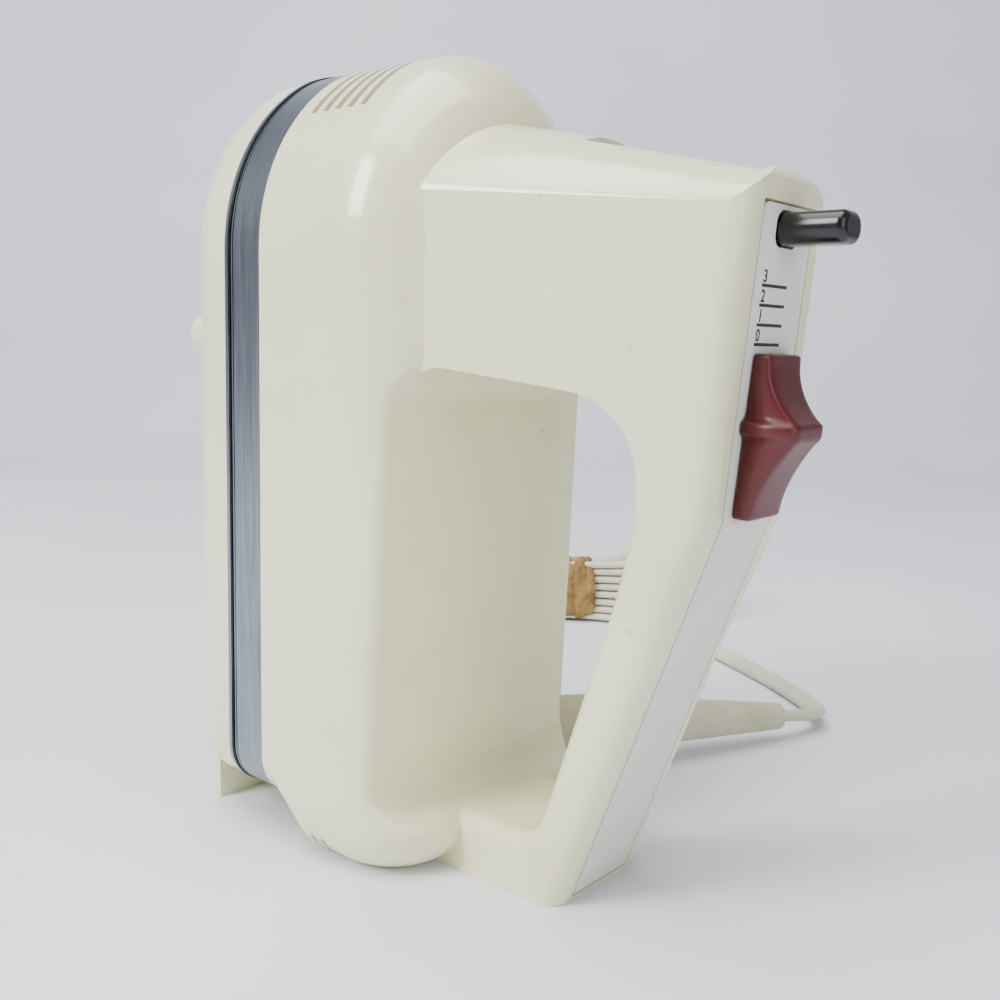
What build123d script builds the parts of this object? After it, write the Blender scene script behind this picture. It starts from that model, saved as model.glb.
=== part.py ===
"""Hand mixer standing on its heel, sizes in millimetres.

+Z runs from the heel on the table up to the nose, +X from the beater side to the handle,
and Y across the width. The table is z = 0 and the motor's axis is upright.
"""
import os
from math import acos, atan2, cos, degrees, pi, radians, sin, tan
from build123d import *

os.makedirs("parts", exist_ok=True)

# Body
half_width = 40.0
nose_top = 197.5
crown_radius = 32.0
shoulder = 148.0  # the sides are upright below this height
beater_face = -49.0
seam = -30.7
band_back = -17.1
handle_face = 31.0
heel_rise = 10.0  # the lower housing's heel stands this far off the table
heel_slope_start = -15.0
heel_slope_end = -3.0  # where the heel reaches the table
heel_radius = 12.5
beater_edge = 12.0
handle_edge = 21.0
wall = 2.5
band_thickness = 1.2
groove = 0.5  # open joint between the lower housing and the band
bead_height = 0.4
bead_width = 1.2

# Handle, in side view
front_foot = (59.6, 0.0)
front_kink = (93.3, 92.6)
front_top = (98.8, 157.0)
roof_at_motor = (163.0, 184.5, 8.0)  # eave height, ridge height and corner radius at x = 0
roof_at_front = (155.5, 162.3, 6.5)  # and at x = 100
heel_join = 50.0  # the body's rounded foot is modelled up to this height
handle_half = 17.6
block_half_at_motor = 34.7  # half-width of the front arm at x = 0
block_half_at_front = 17.2  # and at x = 100
flare_start = 62.0  # height where the grip starts to widen into the front arm
flare_end = 124.0
opening = [(19.0, 14.6), (23.4, 122.9), (85.0, 115.7), (52.4, 14.9)]
opening_radii = [9.0, 9.0, 18.0, 8.0]

front_radius = 5.5
top_radius = 5.0
rim_radius = 4.0  # round edge of the hand opening

# Cover strip on the handle
strip_half = 11.0
strip_thickness = 2.2
strip_gap = 0.5
strip_foot = 1.3
strip_top = 156.0
ledge = 1.6  # width of the rail under each edge of the strip

# Drive
shaft_x = -15.0
shaft_radius = 3.0
drive_z = 151.0
tooth_module = 1.25
gear_teeth = 24
gear_width = 6.0
worm_pitch_radius = 4.5
spindle_radius = 5.0
shank_radius = 3.3
running = 0.05
free = 0.4

# Ejector
eject_travel = 7.0
plunger_wide = 9.0
plunger_high = 6.4
plunger_reach = 13.5  # how far the plunger stands out of the strip

# Speed knob
knob_low = 93.6
knob_high = 127.0
speed_travel = 11.4

# Cord: a flat two-core lead
cord_width = 6.0
collar_root = Vector(8, half_width, 16)
boot_end = Vector(46, 120, 8.4)
boot_length = 60.0
boot_base_radius = 8.0
boot_tip_radius = 4.3
cord_route = [(46, 120, 8.4), (51.13, 130.8, 7.37), (51.5, 143.5, 3.8), (40, 156, 3.1), (22, 169, 3.1),
              (-2, 183, 3.1), (-26, 195.5, 3.1), (-43, 203.5, 4.4), (-57, 213.5, 9.5)]
hank_middle = (-98.0, 200.0)
hank_angle = 40.4
hank_length = 112.0
hank_wide = 36.0
hank_high = 30.0
tie_width = 17.0
tie_depth = 3.0
tail_turn = [(-48, 0, 25), (-64, 0, 17), (-80, 0, 5.5), (-94, 8, 3.1), (-97, 24, 3.1), (-86, 40, 7), (-65, 40, 7)]


def front_x(z):
    """The x of the handle's front line at a height."""
    (x0, z0), (x1, z1) = (front_foot, front_kink) if z < front_kink[1] else (front_kink, front_top)
    return x0 + (z - z0) * (x1 - x0) / (z1 - z0)


def body_section(top, bottom, inset=0.0, corner=0.0):
    """Body outline seen along its depth: upright sides, and a nose of two large arcs that
    meet at a rounded crown."""
    side = half_width - inset
    rise = top - shoulder
    centre = (rise ** 2 - half_width ** 2) / (2 * half_width)
    radius = half_width + centre - inset
    turn = degrees(acos(centre / radius))
    with BuildSketch() as section:
        with BuildLine():
            CenterArc((centre, shoulder), radius, 180, -turn)
            CenterArc((-centre, shoulder), radius, 0, turn)
            Polyline((side, shoulder), (side, bottom + inset), (-side, bottom + inset), (-side, shoulder))
        make_face()
        fillet(section.vertices().group_by(Axis.Y)[-1], radius=crown_radius - inset)
        if corner:
            fillet(section.vertices().group_by(Axis.Y)[0], radius=corner - inset)
    return section.sketch


def band_section(inset=0.0):
    """Body outline at the trim band and the lower housing."""
    return body_section(nose_top, heel_rise, inset, heel_radius)


def opening_section(grow=0.0):
    """D-shaped hand opening in side view, grown by a wall thickness if asked."""
    with BuildSketch() as hole:
        with BuildLine():
            Polyline(*opening, close=True)
        make_face()
        for corner, radius in zip(opening, opening_radii):
            fillet(hole.vertices().sort_by_distance((*corner, 0))[0], radius=radius)
        if grow:
            offset(amount=grow)
    return hole.sketch


def handle_section(inset=0.0):
    """Handle and both arms in side view, without the opening."""
    (fx, fz), (kx, kz) = front_foot, front_kink
    with BuildSketch() as side:
        with BuildLine():
            Polyline((0, fz), (fx, fz), (kx, kz), (front_x(185), 185), (0, 200), close=True)
        make_face()
        if inset:
            offset(amount=-inset, kind=Kind.INTERSECTION)
    return side.sketch


def half_plan(inset=0.0):
    """Top view of the handle: it narrows from the body to the strip."""
    back, front = block_half_at_motor - inset, block_half_at_front - inset
    with BuildSketch() as plan:
        with BuildLine():
            Polyline((0, -back), (100, -front), (110, -front), (110, front), (100, front), (0, back), close=True)
        make_face()
    return plan.sketch


def half_front(inset=0.0):
    """Front view of the handle: a slim grip that flares into the front arm."""
    slim, broad = handle_half - inset, block_half_at_motor - inset
    with BuildSketch() as front:
        with BuildLine():
            Polyline((-slim, flare_start), (-slim, -5), (slim, -5), (slim, flare_start))
            TangentArc((slim, flare_start), (broad, flare_end), tangent=(0, 1))
            Polyline((broad, flare_end), (broad, 205), (-broad, 205), (-broad, flare_end))
            TangentArc((-slim, flare_start), (-broad, flare_end), tangent=(0, 1))
        make_face()
    return front.sketch


def strip_section(depth, low, high):
    """Side view of the strip that closes the handle, between two heights."""
    (kx, kz) = front_kink
    with BuildSketch() as strip:
        with BuildLine():
            Polyline((front_x(low), low), (kx, kz), (front_x(high), high), (front_x(high) - depth, high),
                     (kx - depth, kz + 0.1), (front_x(low) - depth, low), close=True)
        make_face()
    return strip.sketch


def heel_block(inset):
    """Room over the heel slope, which rises from the table to the lower housing's heel."""
    with BuildPart() as heel:
        with BuildSketch(Plane.YZ.offset(seam)):
            add(body_section(nose_top + 5, heel_rise, inset, heel_radius))
        extrude(amount=heel_slope_start - seam)
        with BuildSketch(Plane.YZ.offset(heel_slope_start)):
            add(body_section(nose_top + 5, heel_rise, inset, heel_radius))
        with BuildSketch(Plane.YZ.offset(heel_slope_end)):
            add(body_section(nose_top + 5, 0, inset, heel_radius))
        loft(ruled=True)
        with BuildSketch(Plane.XZ):
            with BuildLine():
                Polyline((heel_slope_end, inset), (60, inset), (60, 210), (heel_slope_end, 210), close=True)
            make_face()
        extrude(amount=60, both=True)
    return heel.part


def upper_block(inset=0.0):
    """Body half on the handle side, solid, with every outer edge rounded."""
    start = band_back - inset
    side, face = half_width - inset, handle_face - inset
    with BuildPart() as block:
        with BuildSketch(Plane.YZ.offset(start)):
            add(body_section(nose_top, heel_join, inset))
            Rectangle(2 * half_width, 2 * (heel_join + inset), mode=Mode.SUBTRACT)
        extrude(amount=face - start)
        rim = block.faces().sort_by(Axis.X)[-1].edges().sort_by(Axis.Z)[1:]
        fillet(rim, radius=handle_edge - inset)
    with BuildPart() as heel:
        with BuildSketch(Plane.XY.offset(inset)):
            with BuildLine():
                Polyline((start - 30, -side), (face, -side), (face, side), (start - 30, side), close=True)
            make_face()
        extrude(amount=heel_join)
        fillet(heel.edges().filter_by(Axis.Z).group_by(Axis.X)[-1], radius=handle_edge - inset)
        fillet(heel.faces().sort_by(Axis.Z)[0].edges().sort_by(Axis.X)[1:], radius=heel_radius - inset)
        with Locations((start - 50, 0, 0)):
            Box(100, 200, 400, mode=Mode.SUBTRACT)
    with BuildPart() as whole:
        add(block.part)
        add(heel.part)
        add(heel_block(inset), mode=Mode.INTERSECT)
    return whole.part


def roof_section(half, eave, ridge, corner):
    """Front view of the arm at one depth: upright sides under a gently arched top."""
    with BuildSketch() as section:
        with BuildLine():
            ThreePointArc((-half, eave), (0, ridge), (half, eave))
            Polyline((half, eave), (half, -5), (-half, -5), (-half, eave))
        make_face()
        fillet(section.vertices().group_by(Axis.Y)[-1], radius=corner)
    return section.sketch


def opening_rim(part):
    """Edges where the hand opening's wall meets the outer sides."""
    outline = opening_section().face().outer_wire()
    rim = []
    for edge in part.edges():
        points = [edge @ k for k in (0.1, 0.4, 0.9)]
        on_wall = all(outline.distance_to(Vertex(p.X, p.Z, 0)) < 0.05 for p in points)
        if on_wall and all(abs(p.Y) > 3 for p in points):
            rim.append(edge)
    return rim


def handle_block():
    """Grip and front arm, with the edges beside the strip rounded, under the arched top."""
    with BuildPart() as roof:
        with BuildSketch(Plane.YZ.offset(-1)):
            add(roof_section(block_half_at_motor + 0.3, *roof_at_motor))
        with BuildSketch(Plane.YZ.offset(101)):
            add(roof_section(block_half_at_front + 0.1, *roof_at_front))
        loft(ruled=True)
        top = (front_x(roof_at_front[1]), roof_at_front[1] + 0.3)
        with BuildSketch(Plane.XZ):
            with BuildLine():
                Polyline((-5, -5), (front_x(-5) + 1, -5), (front_kink[0] + 1, front_kink[1]), (top[0] + 1, top[1] - 12), top,
                         (-5, roof_at_motor[1] + 1.5), close=True)
            profile = make_face()
            fillet(profile.vertices().sort_by_distance((*top, 0))[0], radius=top_radius)
        extrude(amount=60, both=True, mode=Mode.INTERSECT)
    with BuildPart() as grip:
        with BuildSketch(Plane.XZ):
            add(handle_section())
            add(opening_section(), mode=Mode.SUBTRACT)
        extrude(amount=60, both=True)
        with BuildSketch(Plane.YZ.offset(-5)):
            add(half_front())
        extrude(amount=120, mode=Mode.INTERSECT)
        fillet(opening_rim(grip), radius=rim_radius)
        with BuildSketch(Plane.XY.offset(-5)):
            add(half_plan())
        extrude(amount=220, mode=Mode.INTERSECT)
        front_edges = grip.edges().filter_by(
            lambda e: 2 < e.center().Z < 170 and e.center().X > front_x(e.center().Z) - 3.5)
        fillet(front_edges, radius=front_radius)
        add(roof.part, mode=Mode.INTERSECT)
    return grip.part


# Upper housing: the motor's cover and the handle in one moulding
screw_spots = [(-33.4, 128.0), (33.4, 128.0), (-30.0, 20.0), (30.0, 20.0)]
web_y = 34.4
boss_radius = 4.2
pilot_radius = 1.7
screw_radius = 1.6
vent_width = 2.1
nose_vents = [-11.3 + 4.3 * k for k in range(5)]
heel_vents = [-10.5 + 3.7 * k for k in range(5)]
guide_radius = 2.9
stem_radius = 2.5

with BuildPart() as inside:
    add(upper_block(wall))
    with BuildSketch(Plane.XZ):
        add(opening_section(wall))
    extrude(amount=60, both=True, mode=Mode.SUBTRACT)

with BuildPart() as arm_inside:
    with BuildSketch(Plane.XZ):
        with BuildLine():
            Polyline((handle_face, 127), (74, 121.5), (90.5, 121.5), (94, 154.5), (90, 156),
                     (handle_face, 163), close=True)
        make_face()
    extrude(amount=60, both=True)
    with BuildSketch(Plane.XY.offset(100)):
        add(half_plan(4.5))
    extrude(amount=100, mode=Mode.INTERSECT)

with BuildPart() as channel:
    with BuildSketch(Plane.XZ):
        add(handle_section(wall))
        add(opening_section(wall), mode=Mode.SUBTRACT)
        with Locations((0, 100)):
            Rectangle(2 * (handle_face + 24), 220, mode=Mode.SUBTRACT)
    extrude(amount=strip_half - ledge, both=True)

with BuildPart() as strip_window:
    with BuildSketch(Plane.XZ):
        add(strip_section(strip_thickness + 2.5, strip_foot + 5, strip_top - 5))
    extrude(amount=strip_half - ledge, both=True)

with BuildPart() as strip_seat:
    with BuildSketch(Plane.XZ):
        add(strip_section(strip_thickness, strip_foot, strip_top))
        offset(amount=0.02)
    extrude(amount=strip_half, both=True)

with BuildPart() as motor_cover:
    add(upper_block())
    with BuildSketch(Plane.XZ):
        add(opening_section())
    extrude(amount=60, both=True, mode=Mode.SUBTRACT)
    fillet(opening_rim(motor_cover), radius=rim_radius)

with BuildPart() as upper_housing:
    add(handle_block())
    with BuildSketch(Plane.XZ):
        add(opening_section())
    extrude(amount=60, both=True, mode=Mode.SUBTRACT)
    add(motor_cover.part)
    add(inside.part, mode=Mode.SUBTRACT)
    add(arm_inside.part, mode=Mode.SUBTRACT)
    add(channel.part, mode=Mode.SUBTRACT)
    add(strip_window.part, mode=Mode.SUBTRACT)
    add(strip_seat.part, mode=Mode.SUBTRACT)
    # the skirt that the band is wrapped round
    with BuildSketch(Plane.YZ.offset(seam)):
        add(band_section(band_thickness + 0.1))
        add(band_section(wall + 1.0), mode=Mode.SUBTRACT)
    extrude(amount=band_back - seam)
    with BuildSketch(Plane.YZ.offset(band_back - wall)):
        add(band_section(band_thickness + 0.1))
        add(band_section(wall + 1.0), mode=Mode.SUBTRACT)
    extrude(amount=wall + 1)
    # bosses for the long screws
    with BuildSketch(Plane.YZ.offset(seam)):
        with Locations(*screw_spots):
            Circle(boss_radius)
        with Locations(*[(side * web_y, z) for side in (-1, 1) for z in (screw_spots[0][1], screw_spots[2][1])]):
            Rectangle(7, 2.2)
    extrude(amount=handle_face - seam - 14)
    with BuildSketch(Plane.YZ.offset(seam)):
        with Locations(*screw_spots):
            Circle(pilot_radius)
    extrude(amount=30, mode=Mode.SUBTRACT)
    # air slots over the nose and at the heel corners
    for x in nose_vents:
        with Locations((x, -15.3, nose_top - 8), (x, 15.3, nose_top - 8)):
            Box(vent_width, 26, 24, mode=Mode.SUBTRACT)
    for x in heel_vents:
        slope_z = heel_rise * max(0, heel_slope_end - x) / (heel_slope_end - heel_slope_start)
        with Locations((x, -half_width + 5, slope_z), (x, half_width - 5, slope_z)):
            Box(1.9, 12, 13, mode=Mode.SUBTRACT)
    # passage for the ejector stem
    with Locations(Location((handle_face - 1.5, 0, drive_z), (0, 90, 0))):
        Cylinder(guide_radius, 12, mode=Mode.SUBTRACT)
    with BuildSketch(Plane.YZ.offset(86)):
        with Locations((0, drive_z)):
            Rectangle(plunger_wide + 2 * free, plunger_high + 2 * free)
    extrude(amount=20, mode=Mode.SUBTRACT)
    # hole for the cord's collar
    with Locations(Location((collar_root.X, half_width - 2, collar_root.Z), (90, 0, 0))):
        Cylinder(4.6, 10, mode=Mode.SUBTRACT)

upper_housing.part.label = "upper_housing"
export_step(upper_housing.part, "parts/upper_housing.step")

# Lower housing: carries the gear frame, with sockets for the beaters and a foot at the heel
socket_y = worm_pitch_radius + tooth_module * gear_teeth / 2
socket_hole = 6.4
gearbox_boss_low = 138.0
gearbox_boss_height = 3.2
head_radius = 3.4
head_depth = 6.0
foot_half = 32.0
foot_thickness = 2.6
post_spots = [(-23.0, 138.0), (23.0, 138.0), (-23.0, 166.0), (23.0, 166.0)]
post_radius = 3.6
frame_back = -31.5

with BuildPart() as lower_inside:
    with BuildSketch(Plane.YZ.offset(beater_face + wall)):
        add(band_section(wall))
    extrude(amount=seam - beater_face)
    fillet(lower_inside.faces().sort_by(Axis.X)[0].edges(), radius=beater_edge - wall)

# raised gearbox end under the nose
with BuildPart() as gearbox_end:
    with BuildSketch(Plane.YZ.offset(beater_face - gearbox_boss_height)):
        add(band_section(beater_edge - 3))
        with Locations((0, gearbox_boss_low - 100)):
            Rectangle(3 * half_width, 200, mode=Mode.SUBTRACT)
    extrude(amount=gearbox_boss_height + wall)
    fillet(gearbox_end.faces().sort_by(Axis.X)[0].edges(), radius=3.0)

with BuildPart() as lower_housing:
    with BuildSketch(Plane.YZ.offset(beater_face)):
        add(band_section())
    extrude(amount=seam - beater_face)
    fillet(lower_housing.faces().sort_by(Axis.X)[0].edges(), radius=beater_edge)
    add(lower_inside.part, mode=Mode.SUBTRACT)
    add(gearbox_end.part)
    # foot that keeps the mixer upright on its heel
    with Locations((beater_face + foot_thickness / 2, 0, heel_rise)):
        Box(foot_thickness, 2 * foot_half, 2 * heel_rise)
    # screw bosses and posts for the gear frame
    with BuildSketch(Plane.YZ.offset(beater_face + 1)):
        with Locations(*screw_spots):
            Circle(boss_radius + 0.8)
    extrude(amount=seam - beater_face - 1)
    with BuildSketch(Plane.YZ.offset(beater_face + 1)):
        with Locations(*post_spots):
            Circle(post_radius)
    extrude(amount=frame_back - beater_face - 1)
    with BuildSketch(Plane.YZ.offset(beater_face + 8)):
        with Locations(*post_spots):
            Circle(1.3)
    extrude(amount=30, mode=Mode.SUBTRACT)
    with BuildSketch(Plane.YZ.offset(beater_face - 5)):
        with Locations(*screw_spots):
            Circle(screw_radius + 0.2)
        with Locations((-socket_y, drive_z), (socket_y, drive_z)):
            Circle(socket_hole)
    extrude(amount=40, mode=Mode.SUBTRACT)
    with BuildSketch(Plane.YZ.offset(beater_face - 5)):
        with Locations(*screw_spots):
            Circle(head_radius + 0.3)
    extrude(amount=5 + head_depth, mode=Mode.SUBTRACT)

lower_housing.part.label = "lower_housing"
export_step(lower_housing.part, "parts/lower_housing.step")

# Trim band: a brushed strip with a bright bead along its lower edge
with BuildPart() as trim_band:
    with BuildSketch(Plane.YZ.offset(seam + groove)):
        add(band_section())
        add(band_section(band_thickness), mode=Mode.SUBTRACT)
    extrude(amount=band_back - seam - groove)
    with BuildSketch(Plane.YZ.offset(seam + groove)):
        add(band_section(-bead_height))
        add(band_section(band_thickness), mode=Mode.SUBTRACT)
    extrude(amount=bead_width)

trim_band.part.label = "trim_band"
export_step(trim_band.part, "parts/trim_band.step")

# Strip that closes the handle
slot_half = 1.8
upper_tilt = degrees(atan2(front_top[0] - front_kink[0], front_top[1] - front_kink[1]))
knob_middle = (knob_low + knob_high) / 2
knob_frame = Plane(origin=(front_x(knob_middle), 0, knob_middle), x_dir=(0, 1, 0),
                   z_dir=(cos(radians(upper_tilt)), 0, -sin(radians(upper_tilt))))
neck_half = 5.0
plunger_z = drive_z

with BuildPart() as handle_strip:
    with BuildSketch(Plane.XZ):
        add(strip_section(strip_thickness, strip_foot + strip_gap, strip_top - strip_gap))
    extrude(amount=strip_half - strip_gap, both=True)
    fillet(handle_strip.edges().filter_by(lambda e: e.center().Z > strip_top - 1 and e.length < 3), radius=2)
    with BuildSketch(knob_frame.offset(-8)):
        with Locations((0, speed_travel / 2)):
            SlotOverall(2 * neck_half + speed_travel + 0.8, 2 * slot_half + 0.6, rotation=90)
    extrude(amount=12, mode=Mode.SUBTRACT)
    with BuildSketch(Plane.YZ.offset(80)):
        with Locations((0, plunger_z)):
            RectangleRounded(plunger_wide + 2 * free, plunger_high + 2 * free, 2.6)
    extrude(amount=30, mode=Mode.SUBTRACT)

handle_strip.part.label = "handle_strip"
export_step(handle_strip.part, "parts/handle_strip.step")

# Gear frame: a cast box round the gears, with arms that hold the motor
frame_front = -4.0
frame_half = 28.0
frame_low, frame_high = 131.0, 172.0
plate = 3.0
bush_radius = 7.0
arm_y = 26.5
arm_radius = 2.2
stator_low, stator_high = 62.0, 90.0
stator_half_x, stator_half_y = 23.0, 31.0
bearing_radius = 6.0

with BuildPart() as gear_frame:
    with BuildSketch(Plane.XZ):
        with Locations(((frame_back + frame_front) / 2, (frame_low + frame_high) / 2)):
            Rectangle(frame_front - frame_back, frame_high - frame_low)
            Rectangle(frame_front - frame_back - 2 * plate, frame_high - frame_low - 2 * plate,
                      mode=Mode.SUBTRACT)
    extrude(amount=frame_half, both=True)
    with BuildSketch(Plane.YZ.offset(frame_back)):
        with Locations((-socket_y, drive_z), (socket_y, drive_z)):
            Circle(bush_radius)
    extrude(amount=frame_front - frame_back, mode=Mode.SUBTRACT)
    with BuildSketch(Plane.YZ.offset(frame_back - 1)):
        with Locations(*post_spots):
            Circle(1.7)
    extrude(amount=plate + 2, mode=Mode.SUBTRACT)
    with BuildSketch(Plane.YZ.offset(frame_front - plate - 1)):
        with Locations(*post_spots):
            Circle(3.2)
    extrude(amount=plate + 2, mode=Mode.SUBTRACT)
    with Locations((shaft_x, -arm_y, (stator_high + frame_low) / 2), (shaft_x, arm_y, (stator_high + frame_low) / 2)):
        Cylinder(arm_radius, frame_low - stator_high)
    with Locations((shaft_x, 0, (frame_low + frame_high) / 2)):
        Cylinder(bearing_radius, frame_high - frame_low + 2, mode=Mode.SUBTRACT)

gear_frame.part.label = "gear_frame"
export_step(gear_frame.part, "parts/gear_frame.step")

with BuildPart() as frame_screws:
    with BuildSketch(Plane.YZ.offset(beater_face + 9)):
        with Locations(*post_spots):
            Circle(1.2)
    extrude(amount=frame_back + plate - beater_face - 9)
    with BuildSketch(Plane.YZ.offset(frame_back + plate)):
        with Locations(*post_spots):
            Circle(2.8)
    extrude(amount=2.0)

frame_screws.part.label = "frame_screws"
export_step(frame_screws.part, "parts/frame_screws.step")

with BuildPart() as housing_screws:
    with BuildSketch(Plane.YZ.offset(beater_face + head_depth)):
        with Locations(*screw_spots):
            Circle(screw_radius)
    extrude(amount=34)
    with BuildSketch(Plane.YZ.offset(beater_face + head_depth - 2.6)):
        with Locations(*screw_spots):
            Circle(head_radius)
    extrude(amount=2.6)
    with BuildSketch(Plane.YZ.offset(beater_face + head_depth - 2.6)):
        with Locations(*screw_spots):
            Rectangle(4.0, 1.0)
            Rectangle(1.0, 4.0)
    extrude(amount=1.4, mode=Mode.SUBTRACT)

housing_screws.part.label = "housing_screws"
export_step(housing_screws.part, "parts/housing_screws.step")

# Bushes in which the spindles turn, and the shaft's three bearings
for name, x in (("lower_spindle_bushes", frame_back), ("upper_spindle_bushes", frame_front - plate)):
    with BuildPart() as bushes:
        with BuildSketch(Plane.YZ.offset(x)):
            with Locations((-socket_y, drive_z), (socket_y, drive_z)):
                Circle(bush_radius)
                Circle(spindle_radius + running, mode=Mode.SUBTRACT)
        extrude(amount=plate)
    bushes.part.label = name
    export_step(bushes.part, f"parts/{name}.step")

bearing_z = {"nose_bearing": frame_high - plate, "middle_bearing": frame_low, "heel_bearing": 28.0}
for name, z in bearing_z.items():
    with BuildPart() as bearing:
        with Locations((shaft_x, 0, z + plate / 2)):
            Cylinder(bearing_radius, plate)
            Cylinder(shaft_radius + running, plate, mode=Mode.SUBTRACT)
    bearing.part.label = name
    export_step(bearing.part, f"parts/{name}.step")

# Motor bridge at the heel end: bearing plate, two legs, and room for the brush holders
holder_half = 3.6
brush_z = 45.0
bridge_low = bearing_z["heel_bearing"]
with BuildPart() as motor_bridge:
    with Locations((shaft_x, 0, bridge_low + plate / 2)):
        Box(20, 2 * stator_half_y, plate)
    for side in (-1, 1):
        with Locations((shaft_x, side * (stator_half_y - 3.5), (bridge_low + stator_low) / 2)):
            Box(12, 7, stator_low - bridge_low)
        with Locations((shaft_x, side * (stator_half_y - 3.5), brush_z)):
            Box(2 * holder_half, 9, 2 * holder_half, mode=Mode.SUBTRACT)
    with Locations((shaft_x, 0, bridge_low + plate / 2)):
        Cylinder(bearing_radius, plate + 2, mode=Mode.SUBTRACT)

motor_bridge.part.label = "motor_bridge"
export_step(motor_bridge.part, "parts/motor_bridge.step")

# Stator: laminated frame with a round bore and two coil windows
bore = 15.6
coil_y = (16.5, 22.5)
coil_inner, coil_outer = 16.2, 20.2
with BuildPart() as stator_core:
    with BuildSketch(Plane.XY.offset(stator_low)):
        with Locations((shaft_x, 0)):
            RectangleRounded(2 * stator_half_x, 2 * stator_half_y, 6)
            Circle(bore, mode=Mode.SUBTRACT)
        window = (sum(coil_y) / 2, (coil_inner + coil_outer) / 2)
        with Locations(*[(shaft_x + i * window[1], j * window[0]) for i in (-1, 1) for j in (-1, 1)]):
            Rectangle(coil_outer - coil_inner + 1, coil_y[1] - coil_y[0] + 1, mode=Mode.SUBTRACT)
    extrude(amount=stator_high - stator_low)

stator_core.part.label = "stator_core"
export_step(stator_core.part, "parts/stator_core.step")

coil_reach = 8.0
for name, side in (("field_coil_left", -1), ("field_coil_right", 1)):
    with BuildPart() as coil:
        with BuildSketch(Plane.XZ.offset(-side * coil_y[0] if side > 0 else coil_y[0])):
            with Locations((shaft_x, (stator_low + stator_high) / 2)):
                RectangleRounded(2 * coil_outer, stator_high - stator_low + 2 * coil_reach, 7)
                RectangleRounded(2 * coil_inner, stator_high - stator_low + 7, 3, mode=Mode.SUBTRACT)
        extrude(amount=-side * (coil_y[1] - coil_y[0]))
    coil.part.label = name
    export_step(coil.part, f"parts/{name}.step")

# Armature: shaft with worm, laminated core, windings, commutator and fan
worm_pitch = pi * tooth_module
worm_radius = 5.6
worm_core = 3.1
worm_turns = 6.5
worm_start = drive_z - worm_pitch / 4 - 3 * worm_pitch
with BuildPart() as motor_shaft:
    with Locations((shaft_x, 0, 100)):
        Cylinder(shaft_radius, 152)
    with BuildLine():
        Helix(worm_pitch, worm_turns * worm_pitch, worm_core - 0.3, center=(shaft_x, 0, worm_start))
    with BuildSketch(Plane(origin=(shaft_x + worm_core - 0.3, 0, worm_start), x_dir=(1, 0, 0), z_dir=(0, -1, 0))):
        with BuildLine():
            Polyline((0, -1.25), (0, 1.25), (worm_radius - worm_core + 0.3, 0.4),
                     (worm_radius - worm_core + 0.3, -0.4), close=True)
        make_face()
    sweep(is_frenet=True)

motor_shaft.part.label = "motor_shaft"
export_step(motor_shaft.part, "parts/motor_shaft.step")

slots = 12
core_radius = 15.0
with BuildPart() as armature_core:
    with BuildSketch(Plane.XY.offset(stator_low)):
        with Locations((shaft_x, 0)):
            Circle(core_radius)
            Circle(shaft_radius, mode=Mode.SUBTRACT)
            with PolarLocations(core_radius - 1.5, slots):
                Rectangle(6, 1.6, mode=Mode.SUBTRACT)
    extrude(amount=stator_high - stator_low)

armature_core.part.label = "armature_core"
export_step(armature_core.part, "parts/armature_core.step")

winding_radius = 12.5
with BuildPart() as armature_windings:
    for z in (stator_low - 7, stator_high):
        with Locations((shaft_x, 0, z + 3.5)):
            Cylinder(winding_radius, 7)
    fillet(armature_windings.edges().filter_by(GeomType.CIRCLE), radius=2.2)
    with Locations((shaft_x, 0, (stator_low + stator_high) / 2)):
        Cylinder(shaft_radius, stator_high - stator_low + 20, mode=Mode.SUBTRACT)

armature_windings.part.label = "armature_windings"
export_step(armature_windings.part, "parts/armature_windings.step")

commutator_radius = 9.0
with BuildPart() as commutator:
    with BuildSketch(Plane.XY.offset(brush_z - 5)):
        with Locations((shaft_x, 0)):
            Circle(commutator_radius)
            Circle(shaft_radius, mode=Mode.SUBTRACT)
            with PolarLocations(commutator_radius, slots):
                Rectangle(1.6, 0.5, mode=Mode.SUBTRACT)
    extrude(amount=11)

commutator.part.label = "commutator"
export_step(commutator.part, "parts/commutator.step")

fan_radius = 22.5
fan_low = 104.0
with BuildPart() as cooling_fan:
    with Locations((shaft_x, 0, fan_low + 1)):
        Cylinder(fan_radius, 2)
    with Locations((shaft_x, 0, fan_low + 6)):
        Cylinder(6, 12)
    with BuildSketch(Plane.XY.offset(fan_low + 2)):
        with Locations((shaft_x, 0)):
            with PolarLocations(14, 11):
                Rectangle(15, 1.4, rotation=25)
    extrude(amount=9)
    with Locations((shaft_x, 0, fan_low + 6)):
        Cylinder(shaft_radius, 20, mode=Mode.SUBTRACT)

cooling_fan.part.label = "cooling_fan"
export_step(cooling_fan.part, "parts/cooling_fan.step")

# Brushes, each in a brass holder with its spring and cap
brush_half = 2.6
holder_length = 20.0
for name, side in (("left", -1), ("right", 1)):
    inner = commutator_radius + 1.5
    with BuildPart() as holder:
        with Locations((shaft_x, side * (inner + holder_length / 2), brush_z)):
            Box(2 * holder_half, holder_length, 2 * holder_half)
            Box(2 * brush_half + 0.4, holder_length, 2 * brush_half + 0.4, mode=Mode.SUBTRACT)
        with Locations((shaft_x, side * (inner + holder_length - 0.5), brush_z)):
            Box(2 * holder_half, 1, 2 * holder_half)
    holder.part.label = f"brush_holder_{name}"
    export_step(holder.part, f"parts/brush_holder_{name}.step")
    with BuildPart() as brush:
        with Locations((shaft_x, side * (commutator_radius + 0.1 + 5), brush_z)):
            Box(2 * brush_half, 10, 2 * brush_half)
    brush.part.label = f"carbon_brush_{name}"
    export_step(brush.part, f"parts/carbon_brush_{name}.step")

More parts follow.
